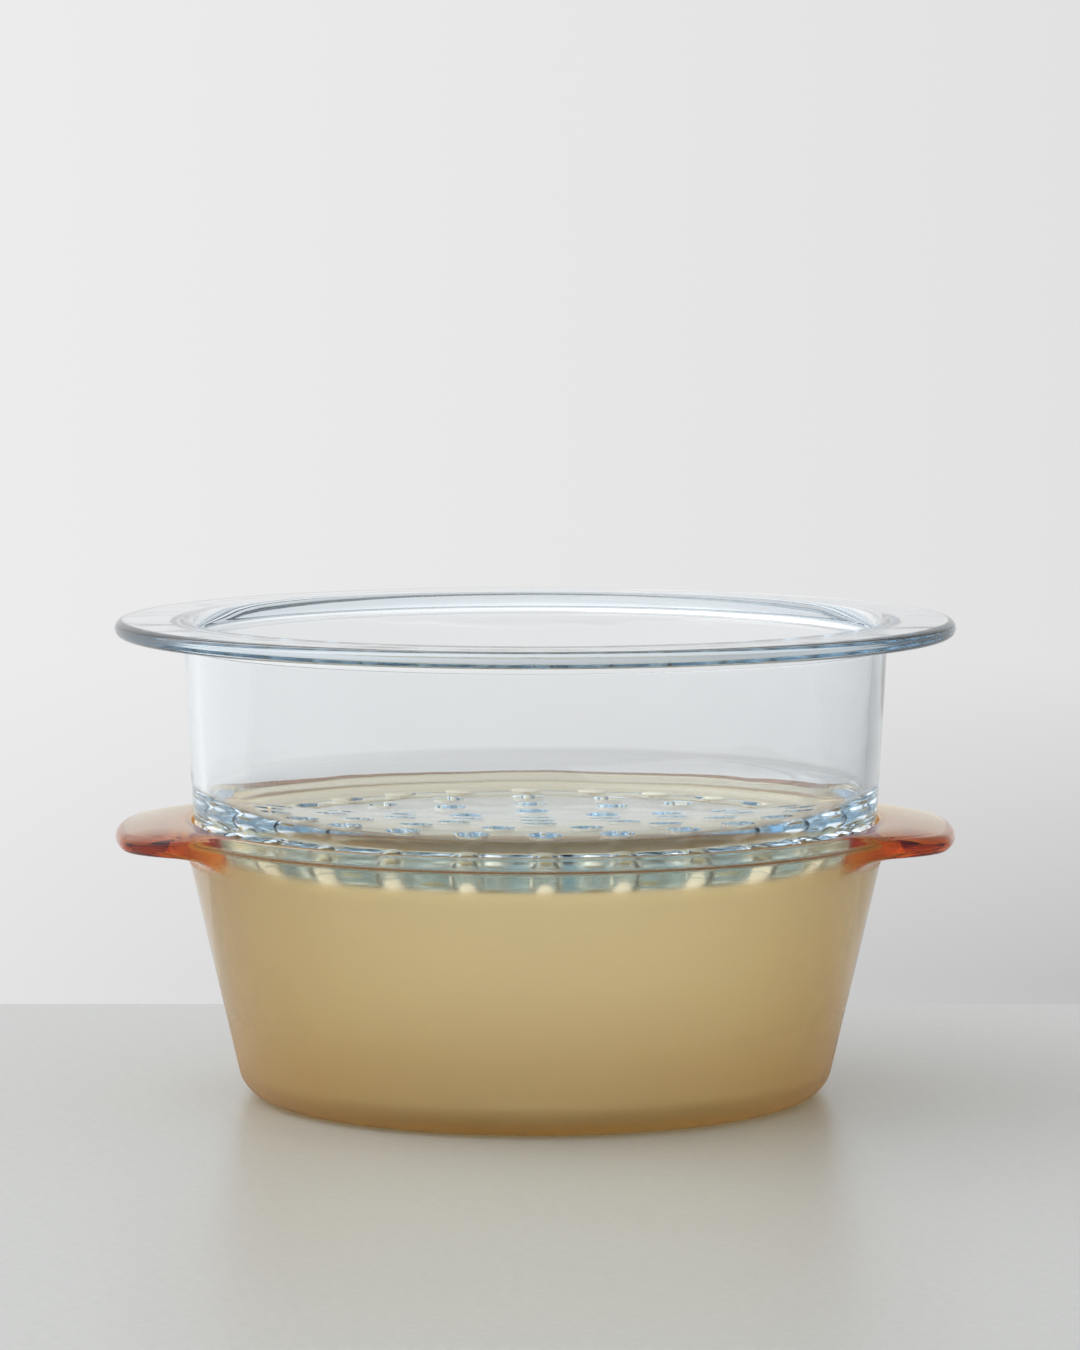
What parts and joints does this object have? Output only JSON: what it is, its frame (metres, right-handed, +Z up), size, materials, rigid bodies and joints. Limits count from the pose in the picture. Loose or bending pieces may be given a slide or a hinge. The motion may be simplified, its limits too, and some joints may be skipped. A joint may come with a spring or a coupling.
{
  "type": "steam cooker",
  "caption": "Round amber glass-ceramic cooking pot with moulded lugs, and a clear glass steamer with a wide flange and a perforated floor that lies loose in its mouth and lifts out.",
  "frame": {"origin": "centre of the pot's foot ring, on the table", "axes": "+Z up along the axis of both pieces, X through the two lugs, -Y towards the camera of the picture"},
  "size_m": [0.2852, 0.2844, 0.1621],
  "materials": {
    "amber_glass_ceramic": "amber glass-ceramic, smooth and fire-polished outside, fogged inside",
    "clear_glass": "clear pressed glass, smooth"
  },
  "bodies": {
    "pot": {"pot": "amber_glass_ceramic"},
    "steamer": {"steamer": "clear_glass"}
  },
  "joints": [
    {"name": "steamer_lift", "type": "slide", "parent": "pot", "child": "steamer", "axis": [0, 0, 1], "range_m": [0, 0.1]}
  ]
}
